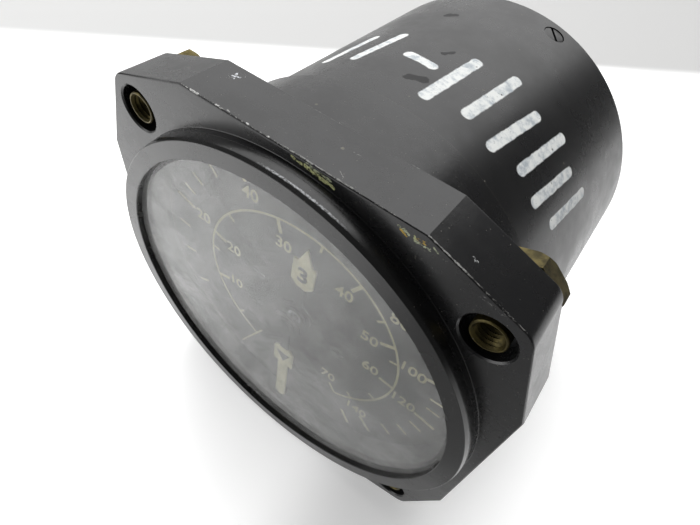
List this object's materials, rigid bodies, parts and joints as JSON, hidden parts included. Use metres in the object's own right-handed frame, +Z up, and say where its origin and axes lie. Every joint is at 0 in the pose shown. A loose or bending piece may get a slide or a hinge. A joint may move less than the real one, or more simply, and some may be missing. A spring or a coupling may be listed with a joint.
{
  "type": "aircraft fuel quantity indicator",
  "caption": "Round panel instrument with two concentric pointers over a double scale, behind flat glass, in a square-flanged housing with a sealed case and rear connector.",
  "frame": {"origin": "on the instrument's axis, in the flange's front face, which meets the back of the panel", "axes": "+X to the right across the dial, +Y back into the case, +Z up the dial; the dial faces -Y"},
  "size_m": [0.0826, 0.0942, 0.0826],
  "materials": {
    "housing_enamel": "semi-gloss black enamel on an aluminium casting",
    "bezel_enamel": "satin black enamel",
    "cover_glass": "clear flat glass with a light haze",
    "black_rubber": "matt moulded rubber",
    "dial_black": "flat black dial paint",
    "dial_cream": "screen-printed cream markings",
    "pointer_cream": "cream paint, black near the hub",
    "black_screws": "blackened steel",
    "brass": "machined brass",
    "nut_brass": "dull brass with olive tarnish",
    "bronze": "sintered bronze",
    "aluminium": "machined aluminium plate",
    "steel": "plated steel",
    "motor_can": "satin plated can",
    "phenolic_brown": "moulded phenolic",
    "carbon_black": "printed carbon track",
    "board_green": "varnished glass-fibre board",
    "core_steel": "laminated transformer steel",
    "coil_tape": "varnished tape over copper wire",
    "capacitor_blue": "shrink sleeve",
    "case_enamel": "satin black enamel over sheet aluminium",
    "connector_shell": "olive-grey plated aluminium",
    "insert_red": "moulded insulator",
    "gold_contact": "gold-plated contacts"
  },
  "bodies": {
    "case": {"front_housing": "housing_enamel", "bezel_ring": "bezel_enamel", "cover_glass": "cover_glass", "glass_gasket": "black_rubber", "dial_spacer": "dial_black", "dial_plate": "dial_black", "dial_scale": "dial_cream", "dial_screws": "black_screws", "dial_feet": "steel", "front_plate": "aluminium", "middle_plate": "aluminium", "rear_plate": "aluminium", "front_pillars": "brass", "rear_pillars": "brass", "tie_screws": "steel", "movement_screws": "steel", "front_bush": "bronze", "middle_bush": "bronze", "rear_bush": "bronze", "short_motor": "motor_can", "long_motor": "motor_can", "motor_screws": "steel", "short_pot": "phenolic_brown", "long_pot": "phenolic_brown", "pot_tracks": "carbon_black", "pot_nuts": "steel", "amplifier_board": "board_green", "board_pillars": "brass", "board_screws": "steel", "transformer_core": "core_steel", "transformer_coil": "coil_tape", "transistors": "steel", "capacitors": "capacitor_blue", "case_tube": "case_enamel", "case_seal": "black_rubber", "rear_cover": "case_enamel", "case_screws": "black_screws", "filler_plug": "brass", "connector_shell": "connector_shell", "connector_insert": "insert_red", "connector_pins": "gold_contact", "connector_gasket": "black_rubber", "connector_screws": "steel", "anchor_nuts": "nut_brass"},
    "short_train": {"short_pointer": "pointer_cream", "short_hub": "brass", "outer_spindle": "steel", "outer_gear": "brass"},
    "long_train": {"long_pointer": "pointer_cream", "long_hub": "brass", "pointer_cap": "black_screws", "inner_spindle": "steel", "inner_gear": "brass"},
    "short_motor_shaft": {"short_pinion": "steel"},
    "long_motor_shaft": {"long_pinion": "steel"},
    "short_followup": {"short_pot_gear": "brass", "short_wiper": "gold_contact"},
    "long_followup": {"long_pot_gear": "brass", "long_wiper": "gold_contact"}
  },
  "joints": [
    {"name": "short_pointer_turn", "type": "hinge", "parent": "case", "child": "short_train", "pos_m": [0, 0.0048, 0], "axis": [0, -1, 0], "range_deg": [-146, 154.5]},
    {"name": "long_pointer_turn", "type": "hinge", "parent": "case", "child": "long_train", "pos_m": [0, 0.0022, 0], "axis": [0, -1, 0], "range_deg": [-328.5, 0]},
    {"name": "short_motor_turn", "type": "hinge", "parent": "case", "child": "short_motor_shaft", "pos_m": [0, 0.0128, 0.013], "axis": [0, -1, 0], "range_deg": [-515.5, 487]},
    {"name": "long_motor_turn", "type": "hinge", "parent": "case", "child": "long_motor_shaft", "pos_m": [0, 0.02, -0.013], "axis": [0, -1, 0], "range_deg": [0, 1095.5]},
    {"name": "short_followup_turn", "type": "hinge", "parent": "case", "child": "short_followup", "pos_m": [0.02, 0.0128, 0], "axis": [0, -1, 0], "range_deg": [-154.5, 146]},
    {"name": "long_followup_turn", "type": "hinge", "parent": "case", "child": "long_followup", "pos_m": [-0.02, 0.02, 0], "axis": [0, -1, 0], "range_deg": [0, 328.5]}
  ],
  "couplings": [
    {"joint": "short_motor_turn", "follows": "short_pointer_turn", "ratio": -3.3333},
    {"joint": "long_motor_turn", "follows": "long_pointer_turn", "ratio": -3.3333},
    {"joint": "short_followup_turn", "follows": "short_pointer_turn", "ratio": -1},
    {"joint": "long_followup_turn", "follows": "long_pointer_turn", "ratio": -1}
  ]
}
